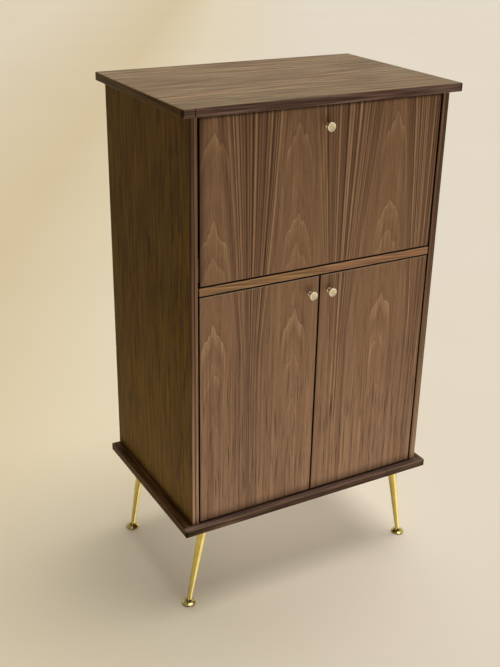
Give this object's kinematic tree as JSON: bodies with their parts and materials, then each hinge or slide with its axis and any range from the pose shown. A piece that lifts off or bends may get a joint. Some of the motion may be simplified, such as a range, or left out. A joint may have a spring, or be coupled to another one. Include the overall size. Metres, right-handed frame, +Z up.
{
  "type": "bar cabinet with drop-front shelf",
  "caption": "Walnut bar cabinet on splayed brass legs, with a drop-front flap on slotted stays over a pair of hinged doors.",
  "frame": {"origin": "on the floor under the middle of the bounding box, knobs included", "axes": "+X to the cabinet's right seen from the front, +Y from the front to the back, +Z up"},
  "size_m": [0.653, 0.431, 1.153],
  "materials": {
    "dark_walnut": "oiled solid walnut, dark with a purplish cast",
    "walnut_veneer": "satin lacquered walnut veneer",
    "light_walnut": "satin lacquered pale walnut strip",
    "pale_board": "thin walnut-faced plywood",
    "polished_brass": "polished",
    "satin_brass": "turned, satin",
    "bronze": "dark patinated",
    "zinc_steel": "zinc plated",
    "brown_plastic": "moulded",
    "grey_felt": "pressed felt"
  },
  "bodies": {
    "case": {"top_panel": "dark_walnut", "bottom_panel": "dark_walnut", "left_side": "walnut_veneer", "right_side": "walnut_veneer", "bar_deck": "walnut_veneer", "adjustable_shelf": "walnut_veneer", "front_rail": "light_walnut", "back_panel": "pale_board", "left_door_top_case_leaf": "bronze", "left_door_bottom_case_leaf": "bronze", "right_door_top_case_leaf": "bronze", "right_door_bottom_case_leaf": "bronze", "flap_left_case_leaf": "bronze", "flap_right_case_leaf": "bronze", "left_stay_stud": "zinc_steel", "right_stay_stud": "zinc_steel", "flap_catch": "brown_plastic", "left_catch": "brown_plastic", "right_catch": "brown_plastic", "front_left_leg": "polished_brass", "front_left_leg_plate": "polished_brass", "front_left_glide": "grey_felt", "shelf_pin_left_front": "zinc_steel", "front_right_leg": "polished_brass", "front_right_leg_plate": "polished_brass", "front_right_glide": "grey_felt", "shelf_pin_right_front": "zinc_steel", "back_left_leg": "polished_brass", "back_left_leg_plate": "polished_brass", "back_left_glide": "grey_felt", "shelf_pin_left_back": "zinc_steel", "back_right_leg": "polished_brass", "back_right_leg_plate": "polished_brass", "back_right_glide": "grey_felt", "shelf_pin_right_back": "zinc_steel"},
    "flap": {"flap_door": "walnut_veneer", "flap_left_moving_leaf": "bronze", "flap_right_moving_leaf": "bronze", "left_stay_bracket": "zinc_steel", "right_stay_bracket": "zinc_steel", "flap_knob": "satin_brass", "flap_knob_screw": "zinc_steel", "flap_strike": "zinc_steel"},
    "left_door": {"left_door": "walnut_veneer", "left_door_top_moving_leaf": "bronze", "left_door_bottom_moving_leaf": "bronze", "left_knob": "satin_brass", "left_knob_screw": "zinc_steel", "left_strike": "zinc_steel"},
    "right_door": {"right_door": "walnut_veneer", "right_door_top_moving_leaf": "bronze", "right_door_bottom_moving_leaf": "bronze", "right_knob": "satin_brass", "right_knob_screw": "zinc_steel", "right_strike": "zinc_steel"},
    "left_stay": {"left_stay_arm": "zinc_steel"},
    "right_stay": {"right_stay_arm": "zinc_steel"}
  },
  "joints": [
    {"name": "flap_fold", "type": "hinge", "parent": "case", "child": "flap", "pos_m": [0, -0.1915, 0.807], "axis": [1, 0, 0], "range_deg": [0, 90]},
    {"name": "left_door_swing", "type": "hinge", "parent": "case", "child": "left_door", "pos_m": [-0.273, -0.1915, 0.505], "axis": [0, 0, -1], "range_deg": [0, 110]},
    {"name": "right_door_swing", "type": "hinge", "parent": "case", "child": "right_door", "pos_m": [0.273, -0.1915, 0.505], "axis": [0, 0, 1], "range_deg": [0, 110]},
    {"name": "left_stay_turn", "type": "hinge", "parent": "flap", "child": "left_stay", "pos_m": [-0.2802, -0.1665, 0.9549], "axis": [1, 0, 0], "range_deg": [-45, 0]},
    {"name": "right_stay_turn", "type": "hinge", "parent": "flap", "child": "right_stay", "pos_m": [0.2802, -0.1665, 0.9549], "axis": [1, 0, 0], "range_deg": [-45, 0]}
  ],
  "couplings": [
    {"joint": "left_stay_turn", "follows": "flap_fold", "ratio": -0.5},
    {"joint": "right_stay_turn", "follows": "flap_fold", "ratio": -0.5}
  ]
}
